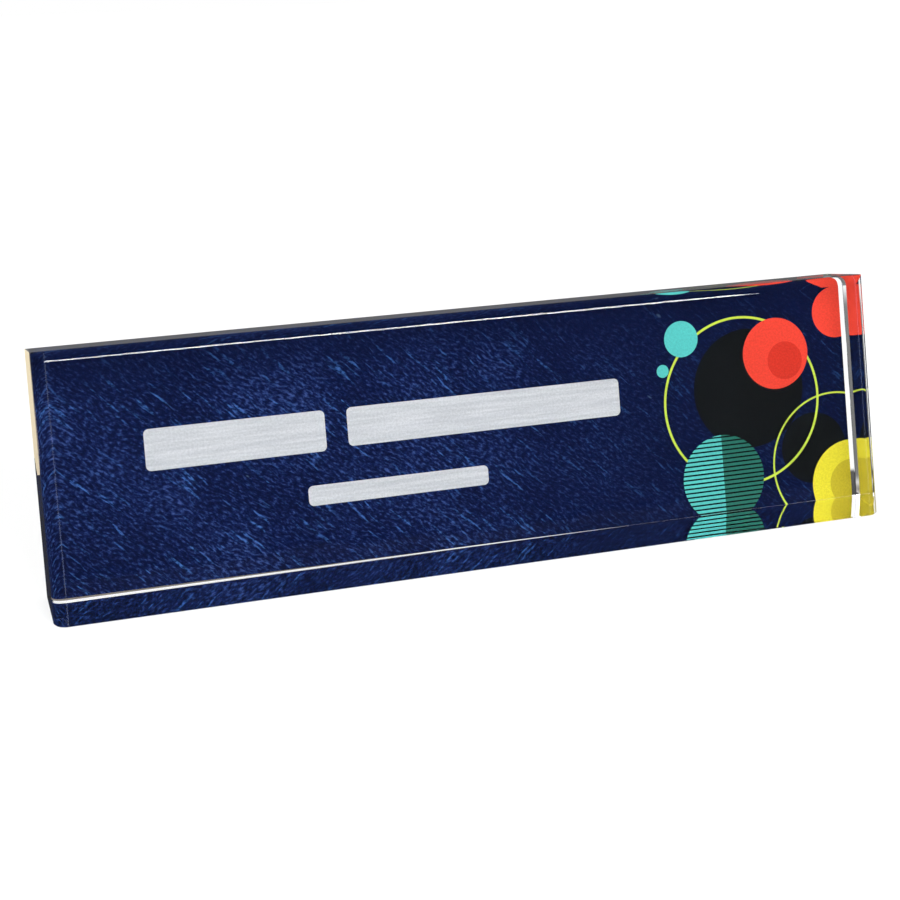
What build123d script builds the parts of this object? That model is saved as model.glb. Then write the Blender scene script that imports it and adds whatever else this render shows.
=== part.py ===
from build123d import *
import os
from math import cos, radians, sin

# Driving sizes in millimetres. The front face is measured along its own slope.
front_width = 203.2
front_height = 60.325
block_thickness = 19.05

# The underside is cut at an angle to the front, so that the block leans back on it. The top is cut square.
lean_degrees = 10

# The front is rounded over along its two ends and, a little less, along its top. Its base edge and the edges of
# the back are only broken by small polished flats.
end_round_radius = 3.0
top_round_radius = 2.3
front_base_flat = 0.3
back_edge_flat = 0.15

# Ink films on the back face: the picture first, then the opaque white that backs it.
colour_ink_thickness = 0.1
white_ink_thickness = 0.1

# Bare clear strips between the picture and the edges of the back flat. The white stays a little inside.
print_margin_side = 1.0
print_margin_top = 1.0
print_margin_bottom = 0.37
white_setback = 0.2

half_share = 0.5

lean = radians(lean_degrees)

# Side outline in the plane across the depth: y runs to the back, z runs up.
face_up = Vector(0, sin(lean), cos(lean))
face_in = Vector(0, cos(lean), -sin(lean))
front_bottom = Vector(0, 0, 0)
front_top = face_up * front_height
back_bottom = Vector(0, block_thickness / cos(lean), 0)
back_top = front_top + face_in * block_thickness
depth_axis = Axis(front_bottom, face_in)
height_axis = Axis(front_bottom, face_up)

# Clear block: the outline drawn out sideways with square cut ends.
outline = Polyline(front_bottom, back_bottom, back_top, front_top, close=True)
blank = extrude(make_face(outline), front_width * half_share, dir=(1, 0, 0), both=True)

# The front is rounded over on every edge but its base, and the roundings meet in a mitre at the upper corners.
front_face = blank.faces().sort_by(depth_axis)[0]
end_edges = front_face.edges().sort_by(height_axis)[1:-1]
top_edge = front_face.edges().sort_by(height_axis)[-1]
block = fillet(end_edges, end_round_radius) & fillet(top_edge, top_round_radius)

# The flat at the foot of the front runs on around the ends, as the roundings lead it there.
front_face = block.faces().sort_by(depth_axis)[0]
base_edge = front_face.edges().filter_by(Axis.X).sort_by(height_axis)[0]
block = chamfer(base_edge, front_base_flat)

# The edges of the back face are broken too, and the flat that is left carries the films.
back_face = block.faces().sort_by(depth_axis)[-1]
block = chamfer(back_face.edges(), back_edge_flat)
back_face = block.faces().sort_by(depth_axis)[-1]
back_flat_edges = back_face.edges().filter_by(Axis.X).sort_by(height_axis)
back_flat_low = back_flat_edges[0].center()
back_flat_high = back_flat_edges[-1].center()
back_flat_width = back_flat_edges[-1].length
back_flat_height = (back_flat_high - back_flat_low).length
back_flat_middle = (back_flat_low + back_flat_high) * half_share
back_flat_plane = Plane(origin=back_flat_middle, x_dir=(1, 0, 0), z_dir=face_in)

picture_width = back_flat_width - 2 * print_margin_side
picture_height = back_flat_height - print_margin_top - print_margin_bottom
picture_down = (print_margin_top - print_margin_bottom) * half_share
picture_place = Pos(0, picture_down, 0)
picture_outline = picture_place * Rectangle(picture_width, picture_height)
picture = extrude(back_flat_plane * picture_outline, colour_ink_thickness)

white_plane = back_flat_plane.offset(colour_ink_thickness)
white_width = picture_width - 2 * white_setback
white_height = picture_height - 2 * white_setback
white_outline = picture_place * Rectangle(white_width, white_height)
white = extrude(white_plane * white_outline, white_ink_thickness)

# One frame for every piece: the middle of the footprint, with the underside left at height zero.
box = block.bounding_box().add(picture.bounding_box()).add(white.bounding_box())
place = Pos(0, -box.center().Y, 0)

os.makedirs("parts", exist_ok=True)
export_step(place * block, "parts/acrylic_block.step")
export_step(place * picture, "parts/colour_print.step")
export_step(place * white, "parts/white_backing.step")
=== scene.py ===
import logging
from collections.abc import Callable
from dataclasses import dataclass
from enum import Enum
from math import cos, pi, radians, sin, tan

import bpy
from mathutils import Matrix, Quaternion, Vector


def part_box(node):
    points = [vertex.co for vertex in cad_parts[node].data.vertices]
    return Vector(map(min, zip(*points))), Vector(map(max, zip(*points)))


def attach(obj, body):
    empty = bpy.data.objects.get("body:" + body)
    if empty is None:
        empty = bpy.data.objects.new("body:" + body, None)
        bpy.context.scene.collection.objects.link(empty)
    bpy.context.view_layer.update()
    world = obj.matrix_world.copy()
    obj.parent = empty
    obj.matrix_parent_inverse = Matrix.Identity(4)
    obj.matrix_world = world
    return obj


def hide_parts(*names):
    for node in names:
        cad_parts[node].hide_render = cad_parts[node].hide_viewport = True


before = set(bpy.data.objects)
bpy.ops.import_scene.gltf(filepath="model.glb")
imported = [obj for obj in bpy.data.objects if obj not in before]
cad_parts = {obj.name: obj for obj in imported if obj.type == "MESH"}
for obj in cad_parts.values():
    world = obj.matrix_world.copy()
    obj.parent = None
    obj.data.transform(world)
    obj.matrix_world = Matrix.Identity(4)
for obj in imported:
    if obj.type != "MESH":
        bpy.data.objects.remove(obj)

LOG = logging.getLogger("name_plate")

MM = 0.001
LEAN = radians(10)
PRINT_MAP = "print_mm"

# Socket numbers of the colour mix node, whose colour sockets share their names with its other sockets.
AMOUNT, UNDER, OVER, MIXED = 0, 6, 7, 2
COLOUR_MIX = {"data_type": "RGBA"}
SMOOTH = {"interpolation_type": "SMOOTHSTEP"}

Node = bpy.types.Node
Socket = bpy.types.NodeSocket
Link = Node | Socket
Range = tuple[float, float]
Triple = tuple[float, float, float]


class Ink(Enum):
    """Inks of the printed picture, as sRGB hex."""

    NIGHT = "#0a1434"
    NAVY = "#15224e"
    BLUE = "#394f8c"
    FLECK = "#4c80d4"
    PALE = "#8fb4ea"
    SILVER = "#d6d8dc"
    DULL_SILVER = "#c4c7cc"
    RED = "#f04a3a"
    DEEP_RED = "#d93a2c"
    TEAL = "#5cc9c4"
    DEEP_TEAL = "#2f7568"
    YELLOW = "#e8dc3c"
    OCHRE = "#c9b832"
    LIME = "#c8dc50"
    BLACK = "#15181a"


def linear(hex_colour: str) -> tuple[float, float, float, float]:
    """Turn an sRGB hex colour into linear light.

    Args:
        hex_colour: Colour as "#rrggbb".

    Returns:
        Red, green, blue and an alpha of one, in linear light.
    """
    parts = [int(hex_colour[i:i + 2], 16) / 255 for i in (1, 3, 5)]
    light = [p / 12.92 if p <= 0.04045 else ((p + 0.055) / 1.055) ** 2.4 for p in parts]
    return (*light, 1.0)


WHITE = linear("#ffffff")
UNLIT = linear("#000000")


class Sketch:
    """A material or world being drawn as nodes."""

    def __init__(self, tree: bpy.types.NodeTree) -> None:
        """Start from an empty tree."""
        self.tree = tree
        tree.nodes.clear()

    def add(self, kind: str, inputs: dict | tuple = (), **settings: object) -> Node:
        """Add one node with its settings and links.

        Args:
            kind: Node type name, without the ShaderNode in front.
            inputs: Its inputs in order, or by name or number. A node stands for its first output.
            settings: Properties of the node itself.

        Returns:
            The new node.
        """
        node = self.tree.nodes.new("ShaderNode" + kind)
        for name, value in settings.items():
            setattr(node, name, value)
        pairs = inputs.items() if isinstance(inputs, dict) else enumerate(inputs)
        for key, value in pairs:
            source = value.outputs[0] if isinstance(value, Node) else value
            if isinstance(source, Socket):
                self.tree.links.new(source, node.inputs[key])
            else:
                node.inputs[key].default_value = source
        return node


def new_material(name: str) -> tuple[bpy.types.Material, Sketch]:
    """Make an empty material.

    Args:
        name: What the real material is.

    Returns:
        The material and the sketch of its nodes.
    """
    material = bpy.data.materials.new(name)
    material.use_nodes = True
    return material, Sketch(material.node_tree)


def set_material(piece: bpy.types.Object, material: bpy.types.Material) -> None:
    """Give a piece one material and no other."""
    piece.data.materials.clear()
    piece.data.materials.append(material)


@dataclass(frozen=True)
class Film:
    """Where the print lies on the leaning back of the block, in metres.

    The print sits a hair out of square. Its foot starts a little above its node's at the left and runs down
    to the edge of the block, which it meets at the turn and then follows.
    """

    width: float
    height: float
    thickness: float
    centre: Vector
    rise: float = 0.45 * MM
    lift: float = 0.06 * MM
    drop: float = 0.49 * MM
    turn: float = 44 * MM

    @classmethod
    def of(cls, node: str) -> "Film":
        """Measure a film from the box of its node.

        Args:
            node: Name of the CAD node.

        Returns:
            Its sizes along its own slope, and its middle.
        """
        low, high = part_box(node)
        width, deep, tall = high - low
        spread = cos(LEAN) ** 2 - sin(LEAN) ** 2
        height = (tall * cos(LEAN) - deep * sin(LEAN)) / spread
        thickness = (deep * cos(LEAN) - tall * sin(LEAN)) / spread
        return cls(width, height, thickness, (low + high) / 2)


@dataclass(frozen=True)
class ClearAcrylic:
    """Cast acrylic, cut and polished clear."""

    film: Film
    colour: str = "#fdfefe"
    haze_colour: str = "#b4c2ea"
    ior: float = 1.49
    wave: float = 30 * MM
    relief: float = 0.1 * MM
    line_across: float = 98.6 * MM
    line_width: float = 0.22 * MM
    line_haze: float = 0.06
    bond_depth: float = 0.22 * MM

    def build(self) -> bpy.types.Material:
        """Make the material.

        Returns:
            The finished material.
        """
        # It gives the eye a thick colourless block that bends and mirrors the print at its edges. Faint
        # polish waves keep the mirror images from being dead straight. Where ink wets the back, that face
        # no longer mirrors.
        material, sketch = new_material("clear_cast_acrylic")
        place = sketch.add("TexCoord").outputs["Object"]
        wave = sketch.add("TexNoise", {"Vector": place, "Scale": 1 / self.wave, "Detail": 1.0})
        bump = sketch.add("Bump", {"Height": wave, "Distance": self.relief})
        clear = sketch.add("BsdfPrincipled", {
            "Base Color": linear(self.colour),
            "Roughness": 0.0,
            "IOR": self.ior,
            "Transmission Weight": 1.0,
            "Normal": bump,
        })
        haze = sketch.add("BsdfDiffuse", {"Color": linear(self.haze_colour)})
        polished = sketch.add("MixShader", (self.lines(sketch, place), clear, haze))
        inside = sketch.add("NewGeometry").outputs["Backfacing"]
        wetted = sketch.add("Math", (inside, self.inked(sketch, place)), operation="MULTIPLY")
        bond = sketch.add("BsdfTransparent")
        shader = sketch.add("MixShader", (wetted, polished, bond))
        sketch.add("OutputMaterial", {"Surface": shader})
        return material

    def lines(self, sketch: Sketch, place: Socket) -> Link:
        """Draw faint pale lines where the end roundings meet the flat front.

        Args:
            sketch: Nodes being drawn.
            place: Object coordinates.

        Returns:
            How much they haze the surface.
        """
        across, deep, up = sketch.add("SeparateXYZ", (place,)).outputs
        from_middle = sketch.add("Math", (across,), operation="ABSOLUTE")
        from_line = sketch.add("Math", (from_middle, self.line_across), operation="SUBTRACT")
        off_line = sketch.add("Math", (from_line,), operation="ABSOLUTE")
        haze = sketch.add("MapRange", (off_line, 0.0, self.line_width, self.line_haze, 0.0), **SMOOTH)
        middle = sketch.add("Math", (up, tan(LEAN)), operation="MULTIPLY")
        in_front = sketch.add("Math", (deep, middle), operation="LESS_THAN")
        return sketch.add("Math", (haze, in_front), operation="MULTIPLY")

    def inked(self, sketch: Sketch, place: Socket) -> Link:
        """Draw where the film touches the block.

        Args:
            sketch: Nodes being drawn.
            place: Object coordinates.

        Returns:
            One on the inked part of the back, zero elsewhere.
        """
        film = self.film
        half_width, half_height = film.width / 2, film.height / 2
        offset = sketch.add("VectorMath", (place, film.centre), operation="SUBTRACT")
        upright = sketch.add("VectorRotate", {"Vector": offset, "Angle": LEAN}, rotation_type="X_AXIS")
        across, deep, up = sketch.add("SeparateXYZ", (upright,)).outputs
        aside = sketch.add("Math", (across,), operation="ABSOLUTE")
        between_ends = sketch.add("Math", (aside, half_width), operation="LESS_THAN")
        below_top = sketch.add("Math", (up, half_height + film.rise), operation="LESS_THAN")
        slope = -(film.lift + film.drop) / (film.turn + half_width)
        level = film.lift + slope * half_width - half_height
        slant = sketch.add("Math", (across, slope, level), operation="MULTIPLY_ADD")
        foot = sketch.add("Math", (slant, -film.drop - half_height), operation="MAXIMUM")
        above_foot = sketch.add("Math", (up, foot), operation="GREATER_THAN")
        on_back = sketch.add("Math", (deep, -self.bond_depth), operation="GREATER_THAN")
        inked = between_ends
        for bound in (below_top, above_foot, on_back):
            inked = sketch.add("Math", (inked, bound), operation="MULTIPLY")
        return inked


@dataclass(frozen=True)
class WhiteInk:
    """Opaque white print ink, cured matt."""

    colour: str = "#eeeeec"
    dull_colour: str = "#e4e4e2"
    roughness: float = 0.62
    band: float = 6.0 * MM
    band_weight: float = 0.12
    bright_levels: Range = (0.2, 0.9)
    grain: float = 0.4 * MM
    relief: float = 0.05 * MM
    relief_strength: float = 0.15

    def build(self) -> bpy.types.Material:
        """Make the material.

        Returns:
            The finished material.
        """
        # It gives the eye a matt white with the faint level bands that the print passes leave. The real
        # grain is finer, and it is drawn coarse enough to show.
        material, sketch = new_material("white_backing_ink")
        place = sketch.add("TexCoord").outputs["Object"]
        grain = sketch.add("TexNoise", {"Vector": place, "Scale": 1 / self.grain, "Detail": 3.0})
        up = sketch.add("SeparateXYZ", (place,)).outputs["Z"]
        phase = sketch.add("Math", (up, 2 * pi / self.band), operation="MULTIPLY")
        passes = sketch.add("Math", (phase,), operation="SINE")
        shade = sketch.add("Math", (passes, self.band_weight, grain), operation="MULTIPLY_ADD")
        bright = sketch.add("MapRange", (shade, *self.bright_levels), **SMOOTH)
        layers = {AMOUNT: bright, UNDER: linear(self.dull_colour), OVER: linear(self.colour)}
        colour = sketch.add("Mix", layers, **COLOUR_MIX).outputs[MIXED]
        relief = {"Height": grain, "Strength": self.relief_strength, "Distance": self.relief}
        bump = sketch.add("Bump", relief)
        shader = sketch.add("BsdfPrincipled", {
            "Base Color": colour,
            "Roughness": self.roughness,
            "Normal": bump,
        })
        sketch.add("OutputMaterial", {"Surface": shader})
        return material


@dataclass(frozen=True)
class Disc:
    """A disc of one ink, or its rim alone, in millimetres on the print."""

    across: float
    up: float
    radius: float
    ink: Ink
    rim: float = 0.0

    def mask(self, sketch: Sketch, place: Socket) -> Link:
        """Draw where the ink goes.

        Args:
            sketch: Nodes being drawn.
            place: Print coordinates in millimetres.

        Returns:
            One where the ink goes, zero elsewhere.
        """
        centre = (self.across, self.up, 0.0)
        away = sketch.add("VectorMath", (place, centre), operation="DISTANCE").outputs["Value"]
        if not self.rim:
            return sketch.add("Math", (away, self.radius), operation="LESS_THAN")
        return sketch.add("Math", (away, self.radius, self.rim / 2), operation="COMPARE")


@dataclass(frozen=True)
class Bar:
    """A rectangle of silver ink with rounded corners, in millimetres on the print."""

    left: float
    right: float
    low: float
    high: float
    corner: float

    def mask(self, sketch: Sketch, place: Socket) -> Link:
        """Draw where the ink goes.

        Args:
            sketch: Nodes being drawn.
            place: Print coordinates in millimetres.

        Returns:
            One where the ink goes, zero elsewhere.
        """
        centre = ((self.left + self.right) / 2, (self.low + self.high) / 2, 0.0)
        straight = ((self.right - self.left) / 2 - self.corner, (self.high - self.low) / 2 - self.corner, 1.0)
        offset = sketch.add("VectorMath", (place, centre), operation="SUBTRACT")
        aside = sketch.add("VectorMath", (offset,), operation="ABSOLUTE")
        past = sketch.add("VectorMath", (aside, straight), operation="SUBTRACT")
        beyond = sketch.add("VectorMath", (past, (0.0, 0.0, 0.0)), operation="MAXIMUM")
        away = sketch.add("VectorMath", (beyond,), operation="LENGTH").outputs["Value"]
        return sketch.add("Math", (away, self.corner), operation="LESS_THAN")


@dataclass(frozen=True)
class StripedDisc:
    """A disc of fine level stripes, deeper on its right half, in millimetres on the print."""

    disc: Disc = Disc(165.5, 8, 11, Ink.TEAL)
    right_half: Ink = Ink.DEEP_TEAL
    between: Ink = Ink.BLACK
    pitch: float = 1.1
    stripe_share: float = 0.64

    def lay(self, sketch: Sketch, place: Socket, colour: Socket) -> Socket:
        """Lay the disc over a colour.

        Args:
            sketch: Nodes being drawn.
            place: Print coordinates in millimetres.
            colour: Colour underneath.

        Returns:
            The colour with the disc on it.
        """
        across, up, _ = sketch.add("SeparateXYZ", (place,)).outputs
        count = sketch.add("Math", (up, self.pitch), operation="DIVIDE")
        part = sketch.add("Math", (count,), operation="FRACT")
        striped = sketch.add("Math", (part, self.stripe_share), operation="LESS_THAN")
        right = sketch.add("Math", (across, self.disc.across), operation="GREATER_THAN")
        halves = {AMOUNT: right, UNDER: linear(self.disc.ink.value), OVER: linear(self.right_half.value)}
        teal = sketch.add("Mix", halves, **COLOUR_MIX).outputs[MIXED]
        lines = {AMOUNT: striped, UNDER: linear(self.between.value), OVER: teal}
        stripes = sketch.add("Mix", lines, **COLOUR_MIX).outputs[MIXED]
        layers = {AMOUNT: self.disc.mask(sketch, place), UNDER: colour, OVER: stripes}
        return sketch.add("Mix", layers, **COLOUR_MIX).outputs[MIXED]


@dataclass(frozen=True)
class NavyGround:
    """Navy ground of short wisps, crossed by long thin chains of brighter flecks, with painted shade along
    its upper edge.

    Lengths are millimetres on the print. Levels are pairs of noise values, and what they govern goes from
    its least to its most between them.
    """

    height: float
    drift: float = 11.0
    drift_reach: float = 2.2
    wisp: float = 0.62
    wisp_turn: float = radians(34)
    wisp_stretch: float = 0.45
    chain: float = 0.9
    chain_turn: float = radians(46)
    chain_stretch: float = 0.09
    bundle: float = 7.0
    tone: float = 26.0
    tone_levels: Range = (0.3, 0.7)
    tone_lift: Range = (-0.05, 0.05)
    navy_levels: Range = (0.4, 0.56)
    blue_levels: Range = (0.52, 0.74)
    chain_levels: Range = (0.56, 0.68)
    bundle_levels: Range = (0.42, 0.62)
    bundle_strength: Range = (0.1, 0.6)
    break_levels: Range = (0.42, 0.58)
    break_strength: Range = (0.1, 1.0)
    speck: float = 4.0
    speck_edge: Range = (0.04, 0.13)
    speck_rarity: float = 0.86
    # Painted shade along the upper edge: where it starts and ends, in millimetres below the edge, and how
    # dark it gets.
    painted_top_shade_reach: Range = (16.0, 2.0)
    painted_top_shade_depth: float = 0.65
    right_fade: Range = (90.0, 145.0)
    right_shade: float = 0.7

    def draw(self, sketch: Sketch, place: Socket) -> Socket:
        """Draw the ground.

        Args:
            sketch: Nodes being drawn.
            place: Print coordinates in millimetres.

        Returns:
            The colour.
        """
        drift = sketch.add("TexNoise", {"Vector": place, "Scale": 1 / self.drift, "Detail": 2.0})
        reach = (self.drift_reach, self.drift_reach, 0.0)
        wander = sketch.add("VectorMath", (drift.outputs["Color"], reach), operation="MULTIPLY")
        wandering = sketch.add("VectorMath", (place, wander), operation="ADD")
        wisp_place = self.strokes(sketch, wandering, self.wisp_turn, self.wisp_stretch)
        chain_place = self.strokes(sketch, wandering, self.chain_turn, self.chain_stretch)
        wisps = {"Vector": wisp_place, "Scale": 1 / self.wisp, "Detail": 3.0, "Roughness": 0.6}
        wisp = sketch.add("TexNoise", wisps)
        tone = sketch.add("TexNoise", {"Vector": place, "Scale": 1 / self.tone, "Detail": 2.0})
        lift = sketch.add("MapRange", (tone, *self.tone_levels, *self.tone_lift), **SMOOTH)
        lifted = sketch.add("Math", (wisp, lift), operation="ADD")
        navy = sketch.add("MapRange", (lifted, *self.navy_levels), **SMOOTH)
        blue = sketch.add("MapRange", (lifted, *self.blue_levels), **SMOOTH)
        flecks = self.flecks(sketch, wisp, wisp_place, chain_place)
        specks = self.specks(sketch, wisp_place)
        across, up, _ = sketch.add("SeparateXYZ", (place,)).outputs
        # Painted shade: the ground darkens towards the upper edge of the print, for the dark reflection under
        # the block's upper rounding.
        fade_start, fade_end = self.painted_top_shade_reach
        from_top = (up, self.height - fade_start, self.height - fade_end, 0.0, self.painted_top_shade_depth)
        painted_top_shade = sketch.add("MapRange", from_top, **SMOOTH)
        right = sketch.add("MapRange", (across, *self.right_fade, 0.0, self.right_shade), **SMOOTH)
        colour = linear(Ink.NIGHT.value)
        for amount, ink in (
            (navy, Ink.NAVY),
            (blue, Ink.BLUE),
            (flecks, Ink.FLECK),
            (specks, Ink.PALE),
            (painted_top_shade, Ink.NIGHT),
            (right, Ink.NIGHT),
        ):
            layers = {AMOUNT: amount, UNDER: colour, OVER: linear(ink.value)}
            colour = sketch.add("Mix", layers, **COLOUR_MIX).outputs[MIXED]
        return colour

    @staticmethod
    def strokes(sketch: Sketch, place: Link, turn: float, stretch: float) -> Link:
        """Turn and stretch coordinates, so that noise on them makes slanting strokes."""
        turned = sketch.add("VectorRotate", {"Vector": place, "Angle": turn}, rotation_type="Z_AXIS")
        return sketch.add("VectorMath", (turned, (stretch, 1.0, 1.0)), operation="MULTIPLY")

    def flecks(self, sketch: Sketch, wisp: Link, wisp_place: Link, chain_place: Link) -> Link:
        """Draw the long chains of flecks, gathered in bundles and broken up by the wisps.

        Args:
            sketch: Nodes being drawn.
            wisp: Noise of the wisps.
            wisp_place: Coordinates of the wisps.
            chain_place: Coordinates of the chains.

        Returns:
            How much of the ink shows.
        """
        chains = {"Vector": chain_place, "Scale": 1 / self.chain, "Detail": 2.0, "Roughness": 0.5}
        chain = sketch.add("MapRange", (sketch.add("TexNoise", chains), *self.chain_levels), **SMOOTH)
        gathering = sketch.add("TexNoise", {"Vector": wisp_place, "Scale": 1 / self.bundle, "Detail": 1.0})
        bundle = sketch.add("MapRange", (gathering, *self.bundle_levels, *self.bundle_strength), **SMOOTH)
        breaks = sketch.add("MapRange", (wisp, *self.break_levels, *self.break_strength), **SMOOTH)
        bundled = sketch.add("Math", (chain, bundle), operation="MULTIPLY")
        return sketch.add("Math", (bundled, breaks), operation="MULTIPLY")

    def specks(self, sketch: Sketch, wisp_place: Link) -> Link:
        """Draw a few pale specks.

        Args:
            sketch: Nodes being drawn.
            wisp_place: Coordinates of the wisps.

        Returns:
            How much of the ink shows.
        """
        cells = sketch.add("TexVoronoi", {"Vector": wisp_place, "Scale": 1 / self.speck}).outputs
        chance = sketch.add("SeparateColor", (cells["Color"],))
        picked = sketch.add("Math", (chance, self.speck_rarity), operation="GREATER_THAN")
        near = sketch.add("MapRange", (cells["Distance"], *self.speck_edge, 1.0, 0.0), **SMOOTH)
        return sketch.add("Math", (near, picked), operation="MULTIPLY")


@dataclass(frozen=True)
class PrintedInk:
    """Digital print: a flecked navy ground, plain silver bars and round shapes.

    All places are millimetres across and up from the print's lower left corner, as it is read.
    """

    height: float
    bars: tuple[Bar, ...] = (
        Bar(22.9, 65.0, 26.4, 36.0, 1.2),
        Bar(70.3, 139.0, 26.9, 36.0, 1.2),
        Bar(59.7, 103.9, 13.9, 18.6, 1.2),
    )
    discs: tuple[Disc, ...] = (
        Disc(174, 30, 15, Ink.BLACK),
        Disc(191, 13, 9, Ink.BLACK),
        Disc(172, 27, 21, Ink.LIME, 0.6),
        Disc(197, 9, 17.5, Ink.LIME, 0.45),
        Disc(201, 3, 11, Ink.YELLOW),
        Disc(201, 3, 6, Ink.OCHRE),
        Disc(182, 38, 9, Ink.RED),
        Disc(184.5, 36, 4.8, Ink.DEEP_RED),
        Disc(156.5, 44, 4.5, Ink.TEAL),
        Disc(151, 36.5, 1.6, Ink.TEAL),
        Disc(199.5, 47, 6.5, Ink.RED),
    )
    striped: StripedDisc = StripedDisc()
    roughness: float = 0.7
    stroke: float = 0.9
    stroke_stretch: float = 0.05
    stroke_levels: Range = (0.3, 0.7)
    grain: float = 0.5
    grain_levels: Range = (0.3, 0.7)
    grain_strength: Range = (0.9, 1.06)

    def build(self) -> bpy.types.Material:
        """Make the material.

        Returns:
            The finished material.
        """
        # It gives the eye crisp flat inks on a deep flecked blue, with painted shade along its upper edge.
        # The block wets it, so it has no gloss of its own.
        material, sketch = new_material("printed_colour_ink")
        place = sketch.add("UVMap", uv_map=PRINT_MAP).outputs[0]
        colour = NavyGround(self.height).draw(sketch, place)
        silver = self.silver(sketch, place)
        for bar in self.bars:
            layers = {AMOUNT: bar.mask(sketch, place), UNDER: colour, OVER: silver}
            colour = sketch.add("Mix", layers, **COLOUR_MIX).outputs[MIXED]
        for disc in self.discs:
            layers = {AMOUNT: disc.mask(sketch, place), UNDER: colour, OVER: linear(disc.ink.value)}
            colour = sketch.add("Mix", layers, **COLOUR_MIX).outputs[MIXED]
        colour = self.striped.lay(sketch, place, colour)
        shader = sketch.add("BsdfPrincipled", {
            "Base Color": self.grained(sketch, place, colour),
            "Roughness": self.roughness,
            "Specular IOR Level": 0.0,
        })
        sketch.add("OutputMaterial", {"Surface": shader})
        return material

    def silver(self, sketch: Sketch, place: Socket) -> Socket:
        """Draw silver ink with a faint brushed lustre.

        Args:
            sketch: Nodes being drawn.
            place: Print coordinates in millimetres.

        Returns:
            The colour.
        """
        long = (self.stroke_stretch, 1.0, 1.0)
        strokes = sketch.add("VectorMath", (place, long), operation="MULTIPLY")
        brushing = {"Vector": strokes, "Scale": 1 / self.stroke, "Detail": 3.0, "Roughness": 0.6}
        lustre = sketch.add("MapRange", (sketch.add("TexNoise", brushing), *self.stroke_levels), **SMOOTH)
        layers = {AMOUNT: lustre, UNDER: linear(Ink.DULL_SILVER.value), OVER: linear(Ink.SILVER.value)}
        return sketch.add("Mix", layers, **COLOUR_MIX).outputs[MIXED]

    def grained(self, sketch: Sketch, place: Socket, colour: Socket) -> Link:
        """Break a colour up with print grain, which is drawn coarser than the real one so that it shows.

        Args:
            sketch: Nodes being drawn.
            place: Print coordinates in millimetres.
            colour: Colour underneath.

        Returns:
            The broken colour.
        """
        dots = {"Vector": place, "Scale": 1 / self.grain, "Detail": 2.0, "Roughness": 0.6}
        grain = sketch.add("TexNoise", dots)
        level = sketch.add("MapRange", (grain, *self.grain_levels, *self.grain_strength), **SMOOTH)
        grey = sketch.add("CombineXYZ", (level, level, level))
        return sketch.add("VectorMath", (colour, grey), operation="MULTIPLY")


@dataclass(frozen=True)
class PrintFilm:
    """The printed colour film, bonded to the back of the block."""

    node: str = "colour_print"
    gap: float = 0.015 * MM
    corner: float = 0.3 * MM
    corner_segments: int = 4

    def build(self) -> bpy.types.Object:
        """Model the film in the place of its node and dress it.

        Returns:
            The finished piece.
        """
        place = Film.of(self.node)
        thickness = place.thickness - 2 * self.gap
        bpy.ops.object.select_all(action="DESELECT")
        bpy.ops.mesh.primitive_plane_add(size=1.0, location=(0.0, 0.0, thickness / 2))
        film = bpy.context.active_object
        film.name = "print_film"
        film.scale = (place.width, place.height, 1.0)
        bpy.ops.object.transform_apply(location=True, rotation=False, scale=True)
        self.cut_outline(film, place)
        bpy.ops.object.mode_set(mode="EDIT")
        bpy.ops.mesh.select_all(action="SELECT")
        bpy.ops.mesh.extrude_region_move(TRANSFORM_OT_translate={"value": (0.0, 0.0, -thickness)})
        bpy.ops.mesh.select_all(action="SELECT")
        bpy.ops.mesh.normals_make_consistent(inside=False)
        bpy.ops.object.mode_set(mode="OBJECT")
        self.map_print(film, place)
        film.rotation_euler = (radians(90) - LEAN, 0.0, 0.0)
        film.location = place.centre
        bpy.ops.object.transform_apply(location=True, rotation=True, scale=False)
        set_material(film, PrintedInk(place.height / MM).build())
        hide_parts(self.node)
        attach(film, "root")
        return film

    def cut_outline(self, film: bpy.types.Object, place: Film) -> None:
        """Round the corners and bring the edges to where the print ends.

        Args:
            film: The film lying flat, centred on the origin.
            place: Its sizes.
        """
        bpy.ops.object.mode_set(mode="EDIT")
        bpy.ops.mesh.select_all(action="SELECT")
        bpy.ops.mesh.bevel(offset=self.corner, segments=self.corner_segments, affect="VERTICES")
        bpy.ops.mesh.select_all(action="SELECT")
        bpy.ops.mesh.bisect(plane_co=(place.turn, 0.0, 0.0), plane_no=(1.0, 0.0, 0.0))
        bpy.ops.object.mode_set(mode="OBJECT")
        self.slide(film, lambda spot: spot.y > 0.0, place.rise)
        self.slide(film, lambda spot: spot.y < 0.0 and spot.x < 0.0, place.lift)
        self.slide(film, lambda spot: spot.y < 0.0 and spot.x > 0.0, -place.drop)

    @staticmethod
    def slide(film: bpy.types.Object, chosen: Callable[[Vector], bool], step: float) -> None:
        """Move the corners picked by their place along the film's height.

        Args:
            film: The film lying flat, centred on the origin.
            chosen: Tells from a corner's place whether it moves.
            step: How far, upwards as it is read.
        """
        bpy.ops.object.mode_set(mode="EDIT")
        bpy.ops.mesh.select_mode(type="VERT")
        bpy.ops.mesh.select_all(action="DESELECT")
        bpy.ops.object.mode_set(mode="OBJECT")
        for corner in film.data.vertices:
            corner.select = chosen(corner.co)
        bpy.ops.object.mode_set(mode="EDIT")
        bpy.ops.transform.translate(value=(0.0, step, 0.0))
        bpy.ops.object.mode_set(mode="OBJECT")

    @staticmethod
    def map_print(film: bpy.types.Object, place: Film) -> None:
        """Store each corner's place on the print, in millimetres from its lower left.

        Args:
            film: The film lying flat, centred on the origin.
            place: Its sizes.
        """
        mesh = film.data
        for layer in list(mesh.uv_layers):
            mesh.uv_layers.remove(layer)
        layer = mesh.uv_layers.new(name=PRINT_MAP)
        for loop in mesh.loops:
            spot = mesh.vertices[loop.vertex_index].co
            layer.data[loop.index].uv = ((spot.x + place.width / 2) / MM, (spot.y + place.height / 2) / MM)


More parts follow.
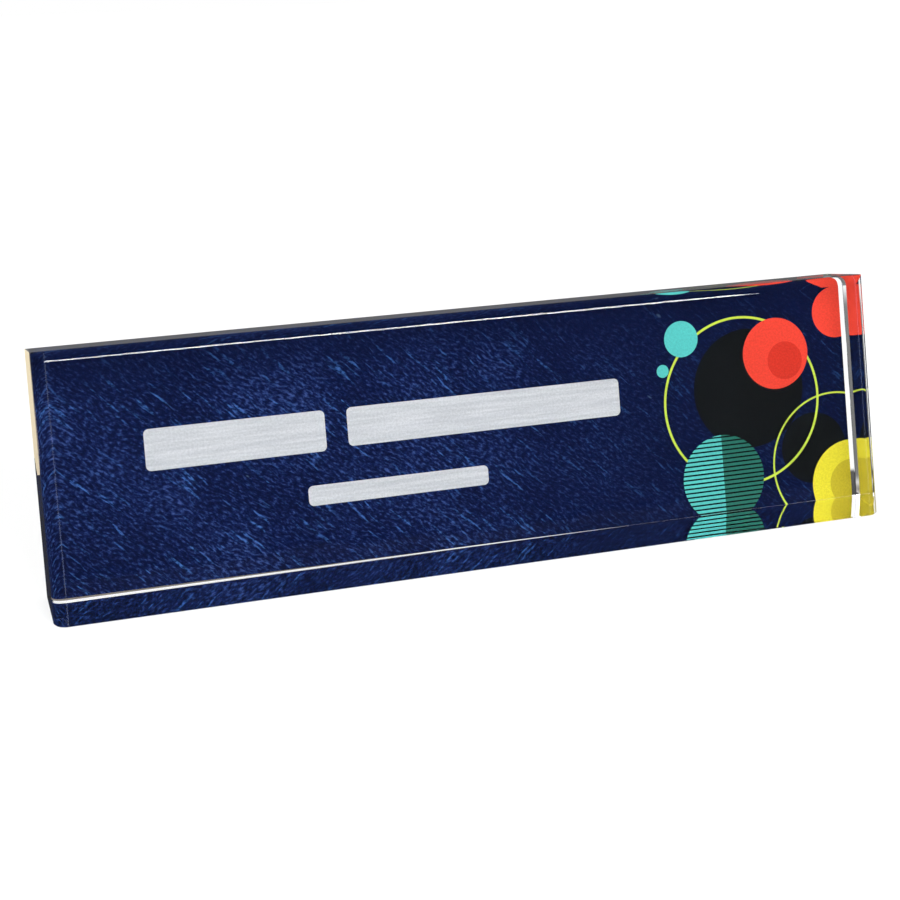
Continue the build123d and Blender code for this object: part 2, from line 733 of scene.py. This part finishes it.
@dataclass(frozen=True)
class ClearBlock:
    """The thick clear block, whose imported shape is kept."""

    node: str = "acrylic_block"

    def dress(self) -> bpy.types.Object:
        """Give the block its finish.

        Returns:
            The dressed piece.
        """
        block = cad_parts[self.node]
        set_material(block, ClearAcrylic(Film.of(PrintFilm.node)).build())
        return block


@dataclass(frozen=True)
class WhiteBacking:
    """The opaque white film behind the print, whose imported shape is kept."""

    node: str = "white_backing"

    def dress(self) -> bpy.types.Object:
        """Give the film its finish.

        Returns:
            The dressed piece.
        """
        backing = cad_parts[self.node]
        set_material(backing, WhiteInk().build())
        return backing


@dataclass(frozen=True)
class View:
    """The camera, where the photograph was taken from, in millimetres and degrees."""

    position: Triple = (-122.94, -379.17, 146.98)
    azimuth: float = 17.213
    pitch: float = -12.613
    roll: float = 1.528
    lens: float = 69.741
    sensor: float = 36.0
    shift: Range = (0.0, -0.15054)
    nearest: float = 1.0

    def build(self) -> None:
        """Place the camera and make it the scene's own."""
        data = bpy.data.cameras.new("camera")
        data.sensor_fit = "HORIZONTAL"
        data.sensor_width = self.sensor
        data.lens = self.lens
        data.shift_x, data.shift_y = self.shift
        data.clip_start = self.nearest * MM
        camera = bpy.data.objects.new("camera", data)
        bpy.context.collection.objects.link(camera)
        heading, tilt = radians(self.azimuth), radians(self.pitch)
        forward = Vector((sin(heading) * cos(tilt), cos(heading) * cos(tilt), sin(tilt)))
        level = forward.to_track_quat("-Z", "Y")
        camera.rotation_mode = "QUATERNION"
        camera.location = Vector(self.position) * MM
        camera.rotation_quaternion = Quaternion(forward, radians(self.roll)) @ level
        bpy.context.scene.camera = camera


@dataclass(frozen=True)
class SoftBox:
    """A soft light, in metres and watts."""

    name: str
    place: Triple
    sides: Range
    power: float
    mirrored: bool = True
    seen_through: bool = True
    aim: Triple = (0.0, 0.0, 0.03)

    def build(self) -> None:
        """Hang the light, aimed at the plate."""
        data = bpy.data.lights.new(self.name, "AREA")
        data.shape = "RECTANGLE"
        data.size, data.size_y = self.sides
        data.energy = self.power
        light = bpy.data.objects.new(self.name, data)
        bpy.context.collection.objects.link(light)
        light.location = self.place
        light.rotation_mode = "QUATERNION"
        light.rotation_quaternion = (Vector(self.aim) - Vector(self.place)).to_track_quat("-Z", "Y")
        light.visible_glossy = self.mirrored
        light.visible_transmission = self.seen_through


@dataclass(frozen=True)
class Floor:
    """Pale paper floor, in metres from the middle of the block's footprint and in shares of light."""

    side: float = 6.0
    sink: float = 0.1 * MM
    paper_colour: str = "#b4b4b4"
    # Painted tan contact shadow right behind the block: its colour, reach and depth.
    contact_shadow_colour: str = "#a07c50"
    glow_reach: Range = (0.2, 1.6)
    glow: Range = (0.5, 0.85)
    mirrored_reach: Range = (0.15, 0.35)
    mirrored: Range = (0.07, 0.3)
    contact_shadow_sides: Range = (0.098, 0.101)
    contact_shadow_start: Range = (0.0, 0.002)
    contact_shadow_end: Range = (0.008, 0.016)
    contact_shadow_depth: float = 0.6
    right_end: float = 0.1
    corner_end: Range = (0.022, 0.026)
    corner_shade: float = 0.96
    shadow_left: Range = (-0.1, -0.085)
    shadow_start: Range = (0.012, 0.02)
    shadow_end: Range = (0.2, 0.24)
    shadow_shade: float = 0.82

    def build(self) -> None:
        """Lay the floor a hair below the block, so that the two never share a plane."""
        bpy.ops.object.select_all(action="DESELECT")
        bpy.ops.mesh.primitive_plane_add(size=self.side, location=(0.0, 0.0, -self.sink))
        floor = bpy.context.active_object
        floor.name = "floor"
        set_material(floor, self.sweep())

    def sweep(self) -> bpy.types.Material:
        """Make the paper.

        Returns:
            The finished material.
        """
        # It gives the eye plain white around the block. Mirror images of it are dim, as of a table in a dark
        # room. The lamps cast the block's own shadow on it. A deeper painted shadow behind the block shows
        # only through the block, and a painted tan contact shadow right behind it shows directly as well.
        material, sketch = new_material("white_paper_sweep")
        place = sketch.add("TexCoord").outputs["Object"]
        path = sketch.add("LightPath").outputs
        seen = sketch.add("Math", (path["Is Camera Ray"], path["Is Transmission Ray"]), operation="MAXIMUM")
        mirror_ray = sketch.add("Math", (path["Is Glossy Ray"], seen), operation="SUBTRACT")
        deep = sketch.add("SeparateXYZ", (place,)).outputs["Y"]
        dim = sketch.add("MapRange", (deep, *self.mirrored_reach, *self.mirrored), **SMOOTH)
        level = sketch.add("Mix", {AMOUNT: mirror_ray, UNDER: WHITE, OVER: dim}, **COLOUR_MIX).outputs[MIXED]
        # Painted shadow: a tan contact shadow right behind the block, which tints the glow where it is seen
        # directly and darkens it further through the block.
        contact_shadow = self.painted_contact_shadow(sketch, place)
        contact_shadow_share = sketch.add("Math", (contact_shadow, self.contact_shadow_depth), operation="MULTIPLY")
        shade = sketch.add("Math", (self.shadow(sketch, place), contact_shadow_share), operation="MAXIMUM")
        shown = sketch.add("Math", (shade, path["Is Transmission Ray"]), operation="MULTIPLY")
        keep = sketch.add("Math", (1.0, shown), operation="SUBTRACT")
        lit = {AMOUNT: keep, UNDER: UNLIT, OVER: linear(self.paper_colour)}
        tint = sketch.add("Mix", lit, **COLOUR_MIX).outputs[MIXED]
        paper = sketch.add("BsdfDiffuse", (sketch.add("VectorMath", (tint, level), operation="MULTIPLY"),))
        away = sketch.add("VectorMath", (place,), operation="LENGTH").outputs["Value"]
        glow = sketch.add("MapRange", (away, *self.glow_reach, *self.glow), **SMOOTH)
        kept_glow = sketch.add("Math", (glow, keep), operation="MULTIPLY")
        strength = sketch.add("Math", (seen, kept_glow), operation="MULTIPLY")
        contact_shadow_tint = {AMOUNT: contact_shadow, UNDER: WHITE, OVER: linear(self.contact_shadow_colour)}
        colour = sketch.add("Mix", contact_shadow_tint, **COLOUR_MIX).outputs[MIXED]
        shine = sketch.add("Emission", (colour, strength))
        both = sketch.add("AddShader", (paper, shine))
        sketch.add("OutputMaterial", {"Surface": both})
        return material

    def painted_contact_shadow(self, sketch: Sketch, place: Socket) -> Link:
        """Draw the painted tan contact shadow on the floor right behind the block.

        Args:
            sketch: Nodes being drawn.
            place: Floor coordinates in metres.

        Returns:
            One against the block, zero a little way off.
        """
        across, deep, _ = sketch.add("SeparateXYZ", (place,)).outputs
        aside = sketch.add("Math", (across,), operation="ABSOLUTE")
        sides = sketch.add("MapRange", (aside, *self.contact_shadow_sides, 1.0, 0.0), **SMOOTH)
        start = sketch.add("MapRange", (deep, *self.contact_shadow_start), **SMOOTH)
        end = sketch.add("MapRange", (deep, *self.contact_shadow_end, 1.0, 0.0), **SMOOTH)
        length = sketch.add("Math", (start, end), operation="MULTIPLY")
        return sketch.add("Math", (sides, length), operation="MULTIPLY")

    def shadow(self, sketch: Sketch, place: Socket) -> Link:
        """Draw a deeper shadow on the floor behind the block, deepest past its right end.

        Args:
            sketch: Nodes being drawn.
            place: Floor coordinates in metres.

        Returns:
            Share of the light that is lost.
        """
        across, deep, _ = sketch.add("SeparateXYZ", (place,)).outputs
        past_end = sketch.add("Math", (across, self.right_end), operation="GREATER_THAN")
        deepest = sketch.add("MapRange", (deep, *self.corner_end, self.corner_shade, 0.0), **SMOOTH)
        corner = sketch.add("Math", (past_end, deepest), operation="MULTIPLY")
        left = sketch.add("MapRange", (across, *self.shadow_left), **SMOOTH)
        sides = sketch.add("Math", (left, past_end), operation="SUBTRACT")
        start = sketch.add("MapRange", (deep, *self.shadow_start), **SMOOTH)
        end = sketch.add("MapRange", (deep, *self.shadow_end, self.shadow_shade, 0.0), **SMOOTH)
        length = sketch.add("Math", (start, end), operation="MULTIPLY")
        behind = sketch.add("Math", (sides, length), operation="MULTIPLY")
        return sketch.add("Math", (corner, behind), operation="MAXIMUM")


@dataclass(frozen=True)
class CreamCard:
    """A card on the floor behind the left end, outside the camera's own view, in metres."""

    place: Triple = (-0.1822, 0.245, 0.0)
    sides: Range = (0.15, 0.29)
    colour: str = "#f2e3c0"

    def build(self) -> None:
        """Lay the card."""
        bpy.ops.object.select_all(action="DESELECT")
        bpy.ops.mesh.primitive_plane_add(size=1.0, location=self.place)
        card = bpy.context.active_object
        card.name = "cream_card"
        card.scale = (*self.sides, 1.0)
        bpy.ops.object.transform_apply(location=True, rotation=False, scale=True)
        # It gives the left end of the block a warm mirror image. Views from behind show the card itself.
        material, sketch = new_material("cream_card")
        paper = sketch.add("BsdfDiffuse", {"Color": linear(self.colour)})
        sketch.add("OutputMaterial", {"Surface": paper})
        set_material(card, material)


@dataclass(frozen=True)
class Studio:
    """The set: camera, floor, card, surrounding light and lamps."""

    light: float = 0.7
    reflected: float = 0.05
    shown: float = 1.0
    lamps: tuple[SoftBox, ...] = (
        SoftBox("key", (-0.75, -0.85, 1.0), (1.6, 1.6), 11.0, mirrored=False),
        SoftBox("fill", (-0.8, 1.1, 0.8), (1.2, 1.2), 8.0),
        SoftBox("strip", (0.27, -1.0, 0.42), (0.62, 0.36), 15.0, seen_through=False),
    )

    def build(self) -> None:
        """Make the whole set."""
        View().build()
        Floor().build()
        CreamCard().build()
        self.surround()
        for lamp in self.lamps:
            lamp.build()

    def surround(self) -> None:
        """Surround the set with even white light, which shows white, lights plainly and is mirrored dim."""
        world = bpy.data.worlds.new("studio")
        bpy.context.scene.world = world
        world.use_nodes = True
        sketch = Sketch(world.node_tree)
        path = sketch.add("LightPath").outputs
        seen = sketch.add("Math", (path["Is Camera Ray"], path["Is Transmission Ray"]), operation="MAXIMUM")
        white = sketch.add("Math", (seen, self.shown), operation="MULTIPLY")
        levels = (path["Is Glossy Ray"], 0.0, 1.0, self.light, self.reflected)
        plain = sketch.add("MapRange", levels, **SMOOTH)
        level = sketch.add("Math", (plain, white), operation="MAXIMUM")
        light = sketch.add("Background", (WHITE, level))
        sketch.add("OutputWorld", {"Surface": light})


def main() -> None:
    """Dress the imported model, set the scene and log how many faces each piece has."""
    logging.basicConfig(level=logging.INFO)
    bpy.context.scene.view_settings.view_transform = "Standard"
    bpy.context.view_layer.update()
    pieces = [PrintFilm().build(), ClearBlock().dress(), WhiteBacking().dress()]
    Studio().build()
    for piece in pieces:
        LOG.info("%s: %d faces", piece.name, len(piece.data.polygons))


if __name__ == "__main__":
    main()
